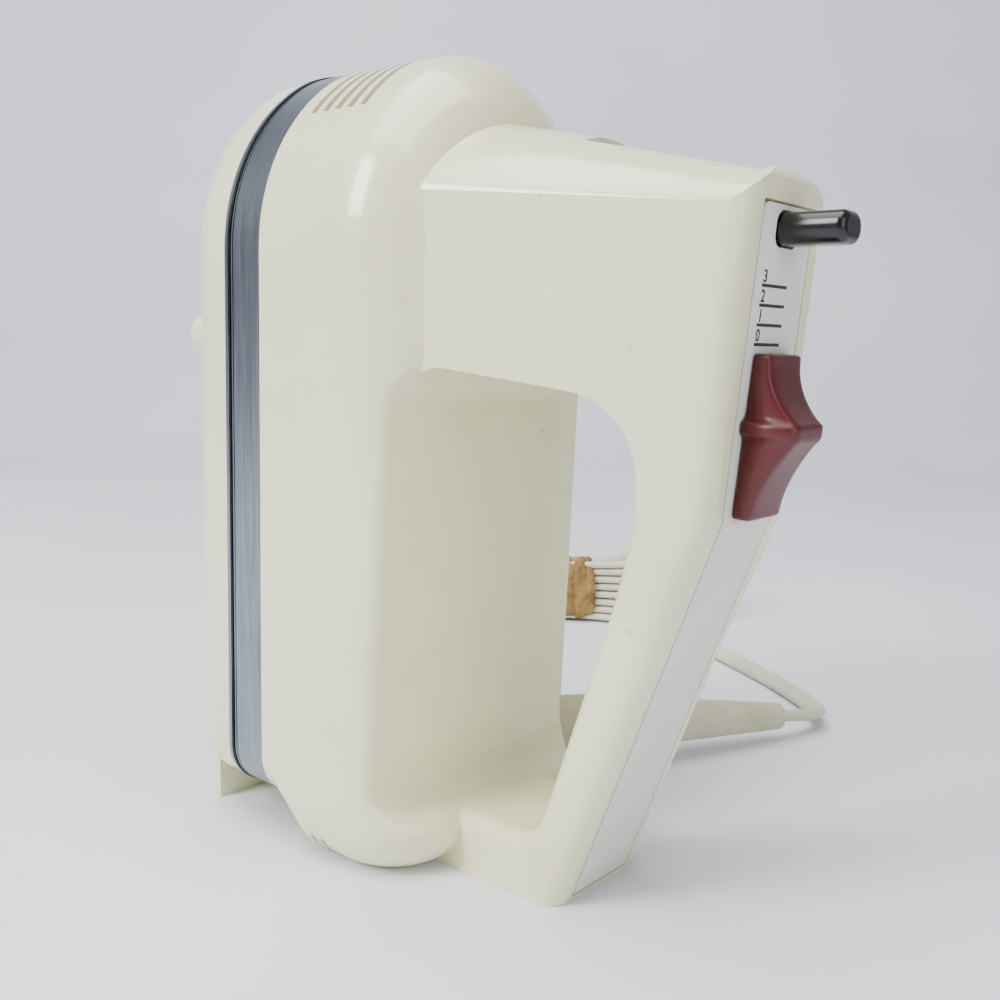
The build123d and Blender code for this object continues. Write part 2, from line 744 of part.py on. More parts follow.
# Spindles with their worm gears. The left gear stands half a tooth round from the right one.
spindle_low, spindle_high = beater_face - 1.5, frame_front + 0.5
gear_pitch_radius = tooth_module * gear_teeth / 2
root_radius, tip_radius = gear_pitch_radius - 1.35, gear_pitch_radius + 1.1
with BuildSketch() as tooth:
    with BuildLine():
        Polyline((root_radius - 0.5, -0.95), (root_radius - 0.5, 0.95), (gear_pitch_radius, 0.55),
                 (tip_radius, 0.3), (tip_radius, -0.3), (gear_pitch_radius, -0.55), close=True)
    make_face()

for name, side, phase in (("left", -1, 0.0), ("right", 1, 0.5)):
    with BuildPart() as spindle:
        with BuildSketch(Plane.YZ.offset(spindle_low)):
            with Locations((side * socket_y, drive_z)):
                Circle(spindle_radius)
                Circle(shank_radius, mode=Mode.SUBTRACT)
        extrude(amount=25)
        with BuildSketch(Plane.YZ.offset(spindle_low + 25)):
            with Locations((side * socket_y, drive_z)):
                Circle(spindle_radius)
                Circle(shank_radius - 0.6, mode=Mode.SUBTRACT)
        extrude(amount=spindle_high - spindle_low - 25)
    spindle.part.label = f"spindle_{name}"
    export_step(spindle.part, f"parts/spindle_{name}.step")
    with BuildPart() as gear:
        with BuildSketch(Plane.YZ.offset(shaft_x - gear_width / 2)):
            with Locations((side * socket_y, drive_z)):
                Circle(root_radius)
                with PolarLocations(0, gear_teeth, start_angle=360 * phase / gear_teeth):
                    add(tooth.sketch)
                Circle(spindle_radius, mode=Mode.SUBTRACT)
        extrude(amount=gear_width)
    gear.part.label = f"worm_gear_{name}"
    export_step(gear.part, f"parts/worm_gear_{name}.step")

# Ejector: a plunger in the front arm, and a plate with a push pin over each spindle
plunger_back = 62.0
plate_x = 6.0
pin_tip = -22.0
pin_radius = 2.0
spring_radius = 4.0
spring_wire = 0.45
plunger_tip = front_x(plunger_z) + plunger_reach
with BuildPart() as eject_plunger:
    with BuildSketch(Plane.YZ.offset(plunger_back)):
        with Locations((0, plunger_z)):
            RectangleRounded(plunger_wide, plunger_high, 2.9)
    extrude(amount=plunger_tip - plunger_back)
    fillet(eject_plunger.faces().sort_by(Axis.X)[-1].edges(), radius=1.6)
    with BuildSketch(Plane.YZ.offset(plate_x)):
        with Locations((0, plunger_z)):
            Circle(stem_radius)
    extrude(amount=plunger_back - plate_x)

eject_plunger.part.label = "eject_plunger"
export_step(eject_plunger.part, "parts/eject_plunger.step")

with BuildPart() as eject_plate:
    with BuildSketch(Plane.YZ.offset(plate_x - 2)):
        with Locations((0, drive_z)):
            SlotOverall(2 * socket_y + 9, 9)
    extrude(amount=2)
    with BuildSketch(Plane.YZ.offset(pin_tip)):
        with Locations((-socket_y, drive_z), (socket_y, drive_z)):
            Circle(pin_radius)
    extrude(amount=plate_x - 2 - pin_tip)

eject_plate.part.label = "eject_plate"
export_step(eject_plate.part, "parts/eject_plate.step")

spring_turns = 8
spring_start, spring_end = handle_face + 1.0, plunger_back
with BuildPart() as eject_spring:
    with BuildLine() as spring_line:
        Helix((spring_end - spring_start - 2) / spring_turns, spring_end - spring_start - 2, spring_radius,
              center=(spring_start + 1, 0, plunger_z), direction=(1, 0, 0))
    with BuildSketch(Plane(origin=spring_line.line @ 0, z_dir=spring_line.line % 0)):
        Circle(spring_wire)
    sweep(is_frenet=True)

eject_spring.part.label = "eject_spring"
export_step(eject_spring.part, "parts/eject_spring.step")

# Speed knob: a ridged thumb slider on a neck that passes through the strip
knob_half = 7.6
knob_top_half = 6.2
ridge_height = 10.8
end_height = 3.8
lift = 0.4
half_length = (knob_high - knob_low) / 2
ridge_at = 2.0
with BuildPart() as speed_knob:
    with BuildSketch(Plane(origin=knob_frame.origin, x_dir=knob_frame.y_dir, z_dir=knob_frame.x_dir)):
        with BuildLine():
            Line((-half_length, lift), (half_length, lift))
            Line((half_length, lift), (half_length, end_height))
            ThreePointArc((half_length, end_height), (half_length - 8.5, 5.6), (ridge_at + 1.6, ridge_height))
            Line((ridge_at + 1.6, ridge_height), (ridge_at - 1.6, ridge_height))
            ThreePointArc((ridge_at - 1.6, ridge_height), (ridge_at - 9, 6.2), (-half_length, end_height))
            Line((-half_length, end_height), (-half_length, lift))
        make_face()
    extrude(amount=knob_half, both=True)
    with BuildSketch(Plane(origin=knob_frame.origin, x_dir=knob_frame.x_dir, z_dir=-knob_frame.y_dir)):
        with BuildLine():
            Polyline((-knob_half, lift), (knob_half, lift), (knob_top_half, ridge_height + 1),
                     (-knob_top_half, ridge_height + 1), close=True)
        make_face()
    extrude(amount=40, both=True, mode=Mode.INTERSECT)

    # crossbar that wraps the flanks at the ridge
    bar_frame = Plane(origin=knob_frame.origin + knob_frame.y_dir * ridge_at, x_dir=knob_frame.x_dir,
                      z_dir=-knob_frame.y_dir)
    with BuildSketch(bar_frame.offset(-1.7)):
        with BuildLine():
            Polyline((-knob_half - 1.7, lift), (knob_half + 1.7, lift), (knob_half + 1.1, 3.4),
                     (knob_top_half + 0.5, ridge_height + 0.3), (-knob_top_half - 0.5, ridge_height + 0.3),
                     (-knob_half - 1.1, 3.4), close=True)
        make_face()
    extrude(amount=3.4)
    with BuildSketch(knob_frame.offset(-6)):
        with Locations((0, 0)):
            SlotOverall(2 * neck_half, 2 * slot_half, rotation=90)
    extrude(amount=6 + lift + 0.5)

speed_knob.part.label = "speed_knob"
export_step(speed_knob.part, "parts/speed_knob.step")

# Under the strip: carriage on the knob's neck, speed control and its board
carriage_half = 7.0
with BuildPart() as slider_carriage:
    with BuildSketch(knob_frame.offset(-strip_thickness - 0.3 - 1.8)):
        Rectangle(2 * carriage_half, 18)
        SlotOverall(2 * neck_half, 2 * slot_half, rotation=90, mode=Mode.SUBTRACT)
    extrude(amount=1.8)

slider_carriage.part.label = "slider_carriage"
export_step(slider_carriage.part, "parts/slider_carriage.step")

board_depth = 9.4
with BuildPart() as control_board:
    with BuildSketch(knob_frame.offset(-board_depth)):
        with Locations((0, 14)):
            Rectangle(18, 42)
    extrude(amount=1.6)

control_board.part.label = "control_board"
export_step(control_board.part, "parts/control_board.step")

with BuildPart() as speed_control:
    with BuildSketch(knob_frame.offset(-board_depth + 1.6)):
        with Locations((0, speed_travel / 2)):
            Rectangle(12, 30)
    extrude(amount=1.4)

speed_control.part.label = "speed_control"
export_step(speed_control.part, "parts/speed_control.step")

# Cord: collar in the wall, strain relief, free lead, hank with its tie, tail and plug
boot_axis = (boot_end - collar_root).normalized()
boot_start = boot_end - boot_axis * boot_length
collar_radius = 8.8
with BuildPart() as cord_collar:
    with BuildSketch(Plane(origin=boot_start, z_dir=-boot_axis)):
        Circle(collar_radius)
    extrude(amount=60)
    split(bisect_by=Plane.XZ.offset(-half_width), keep=Keep.BOTTOM)
    with Locations(Location((collar_root.X, half_width - 1.5, collar_root.Z), (90, 0, 0))):
        Cylinder(4.5, 7)

cord_collar.part.label = "cord_collar"
export_step(cord_collar.part, "parts/cord_collar.step")

with BuildPart() as strain_relief:
    with BuildSketch(Plane(origin=boot_start, z_dir=boot_axis)):
        Circle(boot_base_radius)
    with BuildSketch(Plane(origin=boot_end, z_dir=boot_axis)):
        Circle(boot_tip_radius)
    loft()

strain_relief.part.label = "strain_relief"
export_step(strain_relief.part, "parts/strain_relief.step")


def bend_radii(route):
    """One radius for each corner: 0.45 of its shorter run over the tangent of half the turn."""
    points = [Vector(*p) for p in route]
    radii = []
    for before, here, after in zip(points, points[1:], points[2:]):
        inward, outward = here - before, after - here
        half_turn = radians(inward.get_angle(outward)) / 2
        radii.append(0.45 * min(inward.length, outward.length) / tan(half_turn))
    return radii


def lay_cord(route, name):
    """Flat lead along straight runs joined by tangent arcs."""
    radii = bend_radii(route)
    with BuildPart() as cord:
        with BuildLine() as path:
            FilletPolyline(*route, radius=radii)
        with BuildSketch(Plane(origin=path.line @ 0, z_dir=path.line % 0)):
            Circle(cord_width / 2)
        sweep(transition=Transition.ROUND)
    cord.part.label = name
    export_step(cord.part, f"parts/{name}.step")
    length = sum(edge.length for edge in path.edges())
    expected = pi * cord_width ** 2 / 4 * length
    print(name, "length", round(length, 1), "radii", [round(r) for r in radii],
          "volume over expected", round(cord.part.volume / expected, 3))
    return cord.part


hank_frame = Plane(origin=(*hank_middle, 0), x_dir=(cos(radians(hank_angle)), sin(radians(hank_angle)), 0),
                   z_dir=(0, 0, 1))
tail_route = [tuple(hank_frame.from_local_coords(p)) for p in tail_turn]
lead = lay_cord(cord_route, "power_cord")
tail = lay_cord(tail_route, "cord_tail")

waist = hank_high / 2
with BuildPart() as cord_hank:
    with BuildSketch(hank_frame):
        SlotOverall(hank_length, hank_wide)
    extrude(amount=hank_high)
    fillet(cord_hank.edges(), radius=hank_high / 2 - 4)
    with BuildSketch(Plane(origin=hank_frame.from_local_coords((-tie_width / 2, 0, waist)), z_dir=hank_frame.x_dir,
                           x_dir=hank_frame.y_dir)):
        Rectangle(hank_wide + 10, hank_high + 10)
        RectangleRounded(hank_wide - 2 * tie_depth, hank_high - 2 * tie_depth, 9, mode=Mode.SUBTRACT)
    extrude(amount=tie_width, mode=Mode.SUBTRACT)
    add(lead, mode=Mode.SUBTRACT)
    add(tail, mode=Mode.SUBTRACT)

cord_hank.part.label = "cord_hank"
export_step(cord_hank.part, "parts/cord_hank.step")

with BuildPart() as cord_tie:
    with BuildSketch(Plane(origin=hank_frame.from_local_coords((-tie_width / 2, 0, waist)), z_dir=hank_frame.x_dir,
                           x_dir=hank_frame.y_dir)):
        RectangleRounded(hank_wide - 0.6, hank_high - 0.1, 11)
        RectangleRounded(hank_wide - 2 * tie_depth, hank_high - 2 * tie_depth, 9, mode=Mode.SUBTRACT)
    extrude(amount=tie_width)

cord_tie.part.label = "cord_tie"
export_step(cord_tie.part, "parts/cord_tie.step")

# Plug: moulded body lying beside the hank, with two flat blades
plug_start = hank_frame.from_local_coords(tail_turn[-1])
plug_length, plug_wide, plug_high = 30.0, 22.0, 14.0
plug_frame = Plane(origin=plug_start, z_dir=hank_frame.x_dir, x_dir=hank_frame.y_dir)
with BuildPart() as plug_body:
    with BuildSketch(plug_frame):
        RectangleRounded(9, 8, 3.5)
    with BuildSketch(plug_frame.offset(plug_length - 12)):
        RectangleRounded(plug_wide, plug_high, 5)
    loft()
    with BuildSketch(plug_frame.offset(plug_length - 12)):
        RectangleRounded(plug_wide, plug_high, 5)
    extrude(amount=12)

plug_body.part.label = "plug_body"
export_step(plug_body.part, "parts/plug_body.step")

blade_gap = 12.7
with BuildPart() as plug_blades:
    with BuildSketch(plug_frame.offset(plug_length)):
        with Locations((-blade_gap / 2, 0), (blade_gap / 2, 0)):
            Rectangle(1.5, 6.3)
    extrude(amount=16)

plug_blades.part.label = "plug_blades"
export_step(plug_blades.part, "parts/plug_blades.step")
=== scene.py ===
import bmesh
import bpy
import numpy as np
from mathutils import Matrix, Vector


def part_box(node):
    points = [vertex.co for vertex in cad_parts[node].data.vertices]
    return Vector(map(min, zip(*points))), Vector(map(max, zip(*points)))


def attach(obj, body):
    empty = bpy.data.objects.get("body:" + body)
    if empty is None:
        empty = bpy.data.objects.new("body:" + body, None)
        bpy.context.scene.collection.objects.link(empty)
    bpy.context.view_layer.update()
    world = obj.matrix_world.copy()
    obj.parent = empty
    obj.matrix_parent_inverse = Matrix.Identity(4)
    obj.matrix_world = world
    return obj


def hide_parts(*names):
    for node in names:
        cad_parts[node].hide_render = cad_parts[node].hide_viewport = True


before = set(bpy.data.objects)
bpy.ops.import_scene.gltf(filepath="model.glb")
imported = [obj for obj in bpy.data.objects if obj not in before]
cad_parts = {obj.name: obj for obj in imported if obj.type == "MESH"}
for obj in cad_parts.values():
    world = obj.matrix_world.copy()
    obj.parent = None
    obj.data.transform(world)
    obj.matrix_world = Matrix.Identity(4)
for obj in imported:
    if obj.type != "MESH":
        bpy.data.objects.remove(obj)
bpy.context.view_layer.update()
mm = 0.001
print("frame loaded:", len(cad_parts), "nodes")


# ---------- camera ----------
view = {"turn": 40.4, "down": 8.3, "roll": 1.5, "place": (0.1987, -0.203, 0.128), "lens": 39.24}


def cameraAxes(turn, down, roll):
    # right, up and forward directions, from three angles in degrees
    a, p, r = np.radians([turn, down, roll])
    forward = np.array([-np.sin(a) * np.cos(p), np.cos(a) * np.cos(p), -np.sin(p)])
    level = np.array([np.cos(a), np.sin(a), 0.0])
    up = np.cross(level, forward)
    return level * np.cos(r) + up * np.sin(r), up * np.cos(r) - level * np.sin(r), forward


right, up, forward = cameraAxes(view["turn"], view["down"], view["roll"])
cameraData = bpy.data.cameras.new("camera")
cameraData.lens = view["lens"]
cameraData.sensor_width = 36
cameraData.clip_start = 0.01
camera = bpy.data.objects.new("camera", cameraData)
bpy.context.collection.objects.link(camera)
pose = np.eye(4)
pose[:3, 0], pose[:3, 1], pose[:3, 2], pose[:3, 3] = right, up, -forward, view["place"]
camera.matrix_world = Matrix(pose.tolist())
bpy.context.scene.camera = camera
print("camera set")


# ---------- small helpers ----------
def toLinear(code, alpha=1.0):
    # sRGB hex to linear: divide by 12.92 below the toe, else the 2.4 power curve
    c = np.array([int(code[i:i + 2], 16) for i in (1, 3, 5)]) / 255
    c = np.where(c <= 0.04045, c / 12.92, ((c + 0.055) / 1.055) ** 2.4)
    return (*c.tolist(), alpha)


def addNode(tree, kind, settings=None, values=None, links=None):
    # one node with its settings, its socket values and the sockets that feed it
    node = tree.nodes.new(kind)
    for name, value in (settings or {}).items():
        setattr(node, name, value)
    for name, value in (values or {}).items():
        node.inputs[name].default_value = value
    for name, source in (links or {}).items():
        tree.links.new(source, node.inputs[name])
    return node


def newMaterial(name):
    material = bpy.data.materials.new(name)
    material.use_nodes = True
    tree = material.node_tree
    shader = tree.nodes["Principled BSDF"]
    place = addNode(tree, "ShaderNodeTexCoord").outputs["Object"]
    return material, tree, shader, place


def rampStops(ramp, stops):
    # colour stops given as position and hex colour
    while len(ramp.elements) < len(stops):
        ramp.elements.new(0.5)
    for element, (position, code) in zip(ramp.elements, stops):
        element.position = position
        element.color = toLinear(code)


def meshPiece(name, verts, faces, material, smooth=True):
    mesh = bpy.data.meshes.new(name)
    mesh.from_pydata(verts.tolist(), [], faces.tolist() if hasattr(faces, "tolist") else faces)
    mesh.materials.append(material)
    mesh.polygons.foreach_set("use_smooth", np.full(len(mesh.polygons), smooth))
    mesh.update()
    piece = bpy.data.objects.new(name, mesh)
    bpy.context.collection.objects.link(piece)
    return piece


def faceOutward(piece, weld=None):
    # face normals out of the closed surface; points nearer than the weld distance become one
    work = bmesh.new()
    work.from_mesh(piece.data)
    if weld:
        bmesh.ops.remove_doubles(work, verts=work.verts, dist=weld)
    bmesh.ops.recalc_face_normals(work, faces=work.faces)
    work.to_mesh(piece.data)
    work.free()


def signedPower(values, power):
    # each value raised to a power with its sign kept: below 1 it squares off a circle
    return np.sign(values) * np.abs(values) ** power


def gridFaces(rows, columns, wrapRows=False, wrapColumns=False):
    # quads between neighbouring points of a grid, closed round either way if asked
    r = np.arange(rows if wrapRows else rows - 1)
    c = np.arange(columns if wrapColumns else columns - 1)
    rr, cc = np.meshgrid(r, c, indexing="ij")
    r2, c2 = (rr + 1) % rows, (cc + 1) % columns
    corners = [rr * columns + cc, rr * columns + c2, r2 * columns + c2, r2 * columns + cc]
    return np.stack(corners, -1).reshape(-1, 4)


# ---------- materials ----------
def noise(tree, source, scale, detail=2.0, roughness=0.5):
    values = {"Scale": scale, "Detail": detail, "Roughness": roughness}
    return addNode(tree, "ShaderNodeTexNoise", {}, values, {"Vector": source})


def stretched(tree, source, scale, turn=(0, 0, 0)):
    values = {"Scale": scale, "Rotation": turn}
    return addNode(tree, "ShaderNodeMapping", {}, values, {"Vector": source}).outputs["Vector"]


def remap(tree, source, fromMin=0.0, fromMax=1.0, toMin=0.0, toMax=1.0):
    values = {"From Min": fromMin, "From Max": fromMax, "To Min": toMin, "To Max": toMax}
    return addNode(tree, "ShaderNodeMapRange", {}, values, {"Value": source}).outputs["Result"]


def ramped(tree, source, stops):
    ramp = addNode(tree, "ShaderNodeValToRGB", {}, {}, {"Fac": source})
    rampStops(ramp.color_ramp, stops)
    return ramp


def bumped(tree, source, strength, distance, under=None):
    # surface normal from a height, on top of another bump if there is one
    links = {"Height": source}
    if under is not None:
        links["Normal"] = under
    values = {"Strength": strength, "Distance": distance}
    return addNode(tree, "ShaderNodeBump", {}, values, links).outputs["Normal"]


def moulded(name, base, aged, rough=0.2, grain=0.0, grainSize=0.6, coat=0.35,
            specks="#6E6552", speckAmount=0.02):
    # injection-moulded plastic: cloudy ageing a few centimetres wide, faint ripple from the mould,
    # finger haze in the roughness, and a few dark specks
    material, tree, shader, place = newMaterial(name)
    cloud = noise(tree, place, 22.0, 4.0, 0.6)
    ramp = ramped(tree, cloud.outputs["Fac"], [(0.3, base), (0.8, aged)])
    dots = noise(tree, place, 420.0)
    dotEdge = remap(tree, dots.outputs["Fac"], 0.735, 0.77, toMax=speckAmount * 20)
    mix = addNode(tree, "ShaderNodeMix", {"data_type": "RGBA"}, {7: toLinear(specks)},
                  {0: dotEdge, 6: ramp.outputs["Color"]})
    haze = noise(tree, place, 60.0, 5.0, 0.65)
    dull = remap(tree, haze.outputs["Fac"], 0.35, 0.75, rough, rough + 0.12)
    ripple = noise(tree, place, 130.0, 1.0)
    normal = bumped(tree, ripple.outputs["Fac"], 0.12, 0.00004)
    if grain:
        fine = noise(tree, place, 1.0 / (grainSize * mm))
        normal = bumped(tree, fine.outputs["Fac"], grain, 0.0001, under=normal)
    tree.links.new(mix.outputs[2], shader.inputs["Base Color"])
    tree.links.new(dull, shader.inputs["Roughness"])
    tree.links.new(normal, shader.inputs["Normal"])
    shader.inputs["IOR"].default_value = 1.53
    shader.inputs["Coat Weight"].default_value = coat
    shader.inputs["Coat Roughness"].default_value = 0.06
    return material


def metal(name, base, dark, rough=0.3, stretch=(1, 1, 1), scale=400.0, strength=0.08):
    # turned, drawn or brushed metal: fine lines from noise that is stretched along the tool's path
    material, tree, shader, place = newMaterial(name)
    lines = noise(tree, stretched(tree, place, stretch), scale, 3.0, 0.6)
    ramp = ramped(tree, lines.outputs["Fac"], [(0.3, dark), (0.7, base)])
    dull = remap(tree, lines.outputs["Fac"], toMin=rough - 0.08, toMax=rough + 0.12)
    normal = bumped(tree, lines.outputs["Fac"], strength, 0.00005)
    tree.links.new(ramp.outputs["Color"], shader.inputs["Base Color"])
    tree.links.new(dull, shader.inputs["Roughness"])
    tree.links.new(normal, shader.inputs["Normal"])
    shader.inputs["Metallic"].default_value = 1.0
    return material


# aged ivory ABS with a few rubbed scratches high on the front arm
ivoryAbs = moulded("ivoryAbsMoulded", "#EFECC6", "#E4E0B2", rough=0.15)
rubs = {"centre": (0.075, 0.0, 0.168), "size": (0.03, 0.022, 0.012), "turn": (0.0, 0.2, 0.6),
        "stretch": (60, 1500, 500), "amount": 0.8, "colour": "#7A705C"}


def addScratches(material):
    # thin dark rubs: noise stretched to long streaks, cut to its peaks, kept inside a soft box
    tree = material.node_tree
    shader = tree.nodes["Principled BSDF"]
    place = next(n for n in tree.nodes if n.bl_idname == "ShaderNodeTexCoord").outputs["Object"]
    colour = shader.inputs["Base Color"].links[0].from_socket
    streak = noise(tree, stretched(tree, place, rubs["stretch"], rubs["turn"]), 1.0, 1.0)
    cut = remap(tree, streak.outputs["Fac"], 0.69, 0.74, toMax=rubs["amount"])
    near = addNode(tree, "ShaderNodeVectorMath", {"operation": "SUBTRACT"},
                   {1: rubs["centre"]}, {0: place})
    scaled = addNode(tree, "ShaderNodeVectorMath", {"operation": "DIVIDE"},
                     {1: rubs["size"]}, {0: near.outputs[0]})
    away = addNode(tree, "ShaderNodeVectorMath", {"operation": "LENGTH"}, {}, {0: scaled.outputs[0]})
    inside = remap(tree, away.outputs["Value"], 1.0, 0.7)
    both = addNode(tree, "ShaderNodeMath", {"operation": "MULTIPLY"}, {}, {0: cut, 1: inside})
    mix = addNode(tree, "ShaderNodeMix", {"data_type": "RGBA"}, {7: toLinear(rubs["colour"])},
                  {0: both.outputs[0], 6: colour})
    tree.links.new(mix.outputs[2], shader.inputs["Base Color"])


addScratches(ivoryAbs)

stripAbs = moulded("satinAbsStrip", "#E2E4D8", "#D6D8CA",
                   rough=0.45, grain=0.35, grainSize=0.45, coat=0.0)
redAbs = moulded("redAbsMoulded", "#5A0003", "#440002",
                 rough=0.34, grain=0.05, grainSize=0.8, coat=0.0, specks="#3A0206", speckAmount=0.01)
blackPlastic = moulded("blackPhenolicMoulded", "#020203", "#050506",
                       rough=0.2, coat=0.0, specks="#77736A", speckAmount=0.04)
cordVinyl = moulded("leadVinylExtruded", "#D8D6C0", "#B9B598",
                    rough=0.42, grain=0.1, coat=0.0, speckAmount=0.04)
reliefVinyl = moulded("bootVinylMoulded", "#D2CFB4", "#A39C78",
                      rough=0.45, grain=0.25, grainSize=0.9, coat=0.0, speckAmount=0.06)
naturalNylon = moulded("gearNylonMoulded", "#E4DCC6", "#D2C8AC", rough=0.35, coat=0.0)
phenolicBoard = moulded("phenolicBoardPressed", "#6E4C28", "#543818", rough=0.5, grain=0.2, coat=0.0)
pressedCarbon = moulded("brushCarbonPressed", "#1C1C1E", "#262628", rough=0.6, grain=0.3, coat=0.0)
dieCastZinc = metal("gearFrameZincDieCast", "#A4A5A3", "#83847F", rough=0.45, scale=900.0)
turnedSteel = metal("shaftSteelTurned", "#B9BBBE", "#8E9094", rough=0.28, stretch=(1, 1, 6))
platedSteel = metal("screwSteelZincPlated", "#C6C8C4", "#A3A49C", rough=0.25)
stackSteel = metal("motorSteelLaminated", "#6D7178", "#3C3F44",
                   rough=0.42, stretch=(0.05, 0.05, 3), scale=700.0, strength=0.3)
woundCopper = metal("coilCopperEnamelled", "#A85A2A", "#6E3414",
                    rough=0.32, stretch=(0.3, 0.3, 4), scale=900.0, strength=0.4)
turnedCopper = metal("commutatorCopperTurned", "#C07A48", "#96552C", rough=0.3)
oiledBronze = metal("bushBronzeSintered", "#A98750", "#7C5F33", rough=0.5, scale=1600.0)
drawnBrass = metal("brassDrawn", "#C7A860", "#9A7C3C", rough=0.3)
springSteel = metal("springSteelDrawn", "#A8AAAE", "#7A7C80", rough=0.3)


def bandMetal():
    # anodised aluminium strip: brushing runs along the strip, so the lines change only across it.
    # Across its width from the beater side: bright bead, black pinstripe, thin bright line,
    # dark line of painted shade standing for the groove, brushed field
    material, tree, shader, place = newMaterial("bandAluminiumBrushed")
    low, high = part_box("trim_band")
    split = addNode(tree, "ShaderNodeSeparateXYZ", {}, {}, {0: place})
    across = remap(tree, split.outputs["X"], low[0], high[0])
    lines = noise(tree, stretched(tree, place, (5200, 30, 30)), 1.0, 4.0, 0.7)
    tone = ramped(tree, lines.outputs["Fac"], [(0.3, "#565E68"), (0.7, "#A2A9B0")])
    # the black stop is the printed pinstripe; the dark stop at 0.19 is painted shade standing for the
    # unmodelled groove
    stripesAndGrooveShade = ramped(tree, across, [(0.0, "#FFFFFF"), (0.095, "#101012"), (0.155, "#FFFFFF"),
                                  (0.19, "#2A2C30"), (0.215, "#FFFFFF")])
    stripesAndGrooveShade.color_ramp.interpolation = "CONSTANT"
    mix = addNode(tree, "ShaderNodeMix", {"data_type": "RGBA", "blend_type": "MULTIPLY"}, {0: 1.0},
                  {6: tone.outputs["Color"], 7: stripesAndGrooveShade.outputs["Color"]})
    dull = remap(tree, lines.outputs["Fac"], toMin=0.24, toMax=0.42)
    normal = bumped(tree, lines.outputs["Fac"], 0.1, 0.00003)
    tree.links.new(mix.outputs[2], shader.inputs["Base Color"])
    tree.links.new(dull, shader.inputs["Roughness"])
    tree.links.new(normal, shader.inputs["Normal"])
    shader.inputs["Metallic"].default_value = 1.0
    return material


brushedBand = bandMetal()


def tieRubber():
    # perished tan rubber: yellow-brown mottling, with painted shade darker in the creases, fine crazing
    material, tree, shader, place = newMaterial("tieRubberPerished")
    mottleAndCreaseShade = noise(tree, place, 160.0, 5.0, 0.65)
    # the same noise sets the bump, so the dark end of the ramp is painted shade in the low creases,
    # over the rubber's own mottling
    ramp = ramped(tree, mottleAndCreaseShade.outputs["Fac"],
                  [(0.3, "#4E3712"), (0.52, "#8A6A2C"), (0.75, "#A98C50")])
    tree.links.new(ramp.outputs["Color"], shader.inputs["Base Color"])
    tree.links.new(bumped(tree, mottleAndCreaseShade.outputs["Fac"], 0.5, 0.0003), shader.inputs["Normal"])
    shader.inputs["Roughness"].default_value = 0.55
    return material


tieTan = tieRubber()


def printInk():
    # printed black that is worn to grey in fine patches
    material, tree, shader, place = newMaterial("scaleInkPrinted")
    wear = noise(tree, place, 1500.0)
    ramp = ramped(tree, wear.outputs["Fac"], [(0.55, "#141414"), (0.85, "#34322E")])
    tree.links.new(ramp.outputs["Color"], shader.inputs["Base Color"])
    shader.inputs["Roughness"].default_value = 0.5
    return material


scaleInk = printInk()

finishes = {
    "upper_housing": ivoryAbs, "lower_housing": ivoryAbs,
    "trim_band": brushedBand, "handle_strip": stripAbs, "speed_knob": redAbs,
    "gear_frame": dieCastZinc, "motor_bridge": dieCastZinc,
    "frame_screws": platedSteel, "housing_screws": platedSteel,
    "lower_spindle_bushes": oiledBronze, "upper_spindle_bushes": oiledBronze,
    "nose_bearing": oiledBronze, "middle_bearing": oiledBronze, "heel_bearing": oiledBronze,
    "stator_core": stackSteel, "armature_core": stackSteel,
    "field_coil_left": woundCopper, "field_coil_right": woundCopper, "armature_windings": woundCopper,
    "motor_shaft": turnedSteel, "spindle_left": turnedSteel, "spindle_right": turnedSteel,
    "commutator": turnedCopper, "cooling_fan": naturalNylon, "eject_plate": naturalNylon,
    "worm_gear_left": naturalNylon, "worm_gear_right": naturalNylon,
    "brush_holder_left": drawnBrass, "brush_holder_right": drawnBrass,
    "slider_carriage": drawnBrass, "plug_blades": drawnBrass,
    "carbon_brush_left": pressedCarbon, "carbon_brush_right": pressedCarbon,
    "eject_plunger": blackPlastic, "speed_control": blackPlastic, "eject_spring": springSteel,
    "control_board": phenolicBoard, "cord_collar": reliefVinyl, "strain_relief": reliefVinyl,
    "power_cord": cordVinyl, "cord_hank": cordVinyl, "cord_tail": cordVinyl,
    "plug_body": cordVinyl, "cord_tie": tieTan}
for nodeName, finish in finishes.items():
    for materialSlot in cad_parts[nodeName].material_slots:
        materialSlot.material = finish
print("materials on", len(finishes), "nodes")


# ---------- cord: lead, hank, tail on one spline ----------
lead = {"width": 6.0, "thickness": 3.4, "exit": (46, 120, 8.4),
        "free": [(46, 120, 8.4), (50.6, 130.8, 7.2), (51.5, 142.5, 4.2), (40, 156, 3.0),
                 (22, 169, 2.9), (-2, 183, 2.9), (-26, 195.5, 2.9), (-43, 203.5, 3.0)],
        "lean": 35.0, "leanUntil": 130, "leanFade": 40,
        "sidePower": 0.85, "facePower": 0.7, "waist": 0.28, "waistWide": 0.9, "points": 20}
hank = {"middle": (-98, 200), "angle": 40.4, "turns": 7, "low": 2.6, "pitch": 3.4,
        "uneven": 0.035, "fan": 0.6, "spread": 0.28}
tail = [(8, -3.4, 26.4), (-14, -3.6, 26.6), (-34, -1, 27.0), (-52, 0, 27.0), (-66, 0, 18),
        (-80, 0, 5), (-94, 6, 1.8), (-99, 20, 1.8), (-94, 35, 3.0), (-82, 40, 7), (-65, 40, 7)]
loop = np.array([(30, -11.0), (11, -3.6), (-11, -3.6), (-30, -11.0), (-43, -15.0), (-52.5, -11.5),
                 (-55, 0), (-52.5, 11.5), (-43, 15.0), (-30, 11.0), (-11, 3.6), (11, 3.6),
                 (30, 11.0), (43, 15.0), (52.5, 11.5), (55, 0), (52.5, -11.5), (43, -15.0)])


